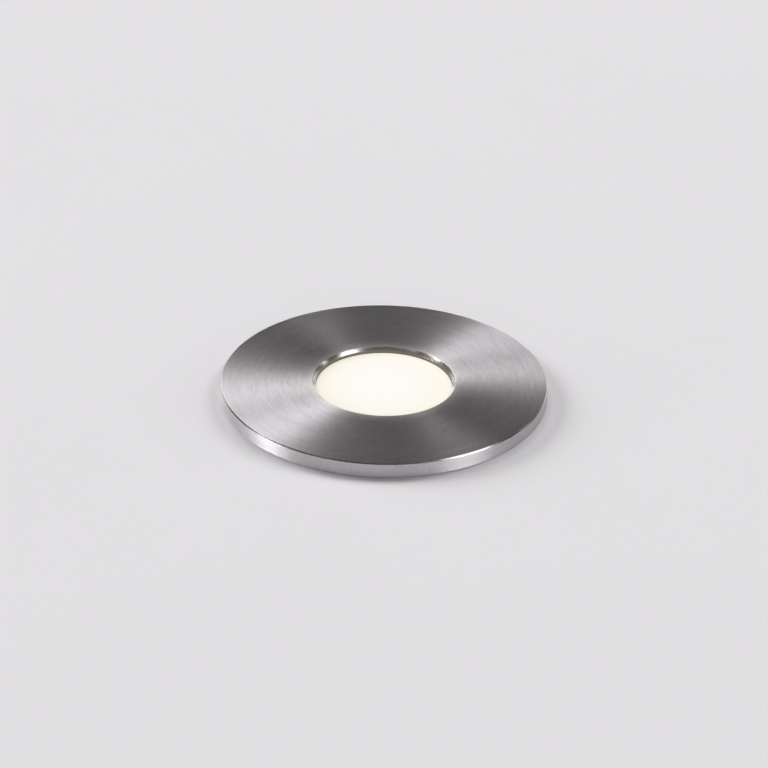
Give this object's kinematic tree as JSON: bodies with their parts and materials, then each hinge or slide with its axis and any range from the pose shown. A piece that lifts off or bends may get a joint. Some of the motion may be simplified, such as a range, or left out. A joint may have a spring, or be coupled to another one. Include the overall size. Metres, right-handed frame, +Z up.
{
  "type": "in ground well light",
  "caption": "Round flush in ground light: a thick brushed steel bezel round a small recessed opal lens, on a finned lamp body that clips into a ground sleeve.",
  "frame": {"origin": "on the lamp's axis at ground level, where the bezel lies on the ground and the sleeve's mouth is", "axes": "+Z up out of the ground along the lamp's axis, +X towards the right spring clip"},
  "size_m": [0.042, 0.042, 0.048],
  "materials": {
    "bezel_steel": "circular brushed stainless, turned edges",
    "opal_lens": "opal, satin gloss",
    "white_ptfe": "smooth white",
    "silicone": "translucent white silicone",
    "black_rubber": "black EPDM",
    "body_aluminium": "turned, clear anodised",
    "thermal_grey": "grey silicone pad",
    "board_white": "white solder mask on aluminium",
    "led_ceramic": "white ceramic",
    "led_phosphor": "clear silicone over yellow phosphor",
    "screw_steel": "plain stainless",
    "reflector_white": "white, satin",
    "lead_red": "silicone insulation",
    "lead_black": "silicone insulation",
    "crimp_tin": "tinned copper",
    "potting": "cast black resin",
    "gland_brass": "nickel plated brass",
    "sleeve_black": "fine eroded black polypropylene",
    "clip_steel": "pressed stainless strip",
    "spring_steel": "drawn stainless wire"
  },
  "bodies": {
    "sleeve": {"recess_sleeve": "sleeve_black", "sleeve_base": "sleeve_black"},
    "lamp": {"lamp_body": "body_aluminium", "neck_o_ring": "black_rubber", "thermal_pad": "thermal_grey", "led_board": "board_white", "led_package": "led_ceramic", "led_dome": "led_phosphor", "board_screws": "screw_steel", "mixing_reflector": "reflector_white", "lead_red": "lead_red", "lead_black": "lead_black", "lead_grommet": "black_rubber", "crimp_red": "crimp_tin", "crimp_black": "crimp_tin", "potting_plug": "potting", "body_cover": "body_aluminium", "cover_o_ring": "black_rubber", "cover_screws": "screw_steel", "gland_body": "gland_brass", "gland_o_ring": "black_rubber", "gland_seal": "black_rubber", "clip_pin_left": "spring_steel", "clip_pin_right": "spring_steel", "clip_spring_left": "spring_steel", "clip_spring_right": "spring_steel"},
    "lens": {"lens_slip_ring": "white_ptfe", "lens_diffuser": "opal_lens", "lens_gasket": "silicone"},
    "bezel": {"bezel_ring": "bezel_steel", "ground_seal": "black_rubber"},
    "clip_left": {"clip_lever_left": "clip_steel"},
    "clip_right": {"clip_lever_right": "clip_steel"},
    "gland_thrust": {"gland_washer": "white_ptfe"},
    "gland_nut": {"gland_nut": "gland_brass"}
  },
  "joints": [
    {"name": "luminaire_lift", "type": "slide", "parent": "sleeve", "child": "lamp", "axis": [0, 0, 1], "range_m": [0, 0.032]},
    {"name": "lens_rise", "type": "slide", "parent": "lamp", "child": "lens", "axis": [0, 0, 1], "range_m": [0, 0.003]},
    {"name": "bezel_turn", "type": "hinge", "parent": "lens", "child": "bezel", "pos_m": [0, 0, 0], "axis": [0, 0, 1], "range_deg": [0, 1080]},
    {"name": "clip_left_swing", "type": "hinge", "parent": "lamp", "child": "clip_left", "pos_m": [-0.0114, 0, -0.0181], "axis": [0, 1, 0], "range_deg": [0, 12], "stiffness_Nm_per_rad": 0.01, "springref_deg": -17.19, "deforming": ["clip_spring_left"]},
    {"name": "clip_right_swing", "type": "hinge", "parent": "lamp", "child": "clip_right", "pos_m": [0.0114, 0, -0.0181], "axis": [0, -1, 0], "range_deg": [0, 12], "stiffness_Nm_per_rad": 0.01, "springref_deg": -17.19, "deforming": ["clip_spring_right"]},
    {"name": "gland_washer_travel", "type": "slide", "parent": "lamp", "child": "gland_thrust", "axis": [0, 0, -1], "range_m": [0, 0.003]},
    {"name": "gland_nut_turn", "type": "hinge", "parent": "gland_thrust", "child": "gland_nut", "pos_m": [0, 0, -0.027], "axis": [0, 0, -1], "range_deg": [0, 1080]}
  ],
  "couplings": [
    {"joint": "lens_rise", "follows": "bezel_turn", "m_per_rad": 0.00015915},
    {"joint": "gland_washer_travel", "follows": "gland_nut_turn", "m_per_rad": 0.00015915}
  ]
}
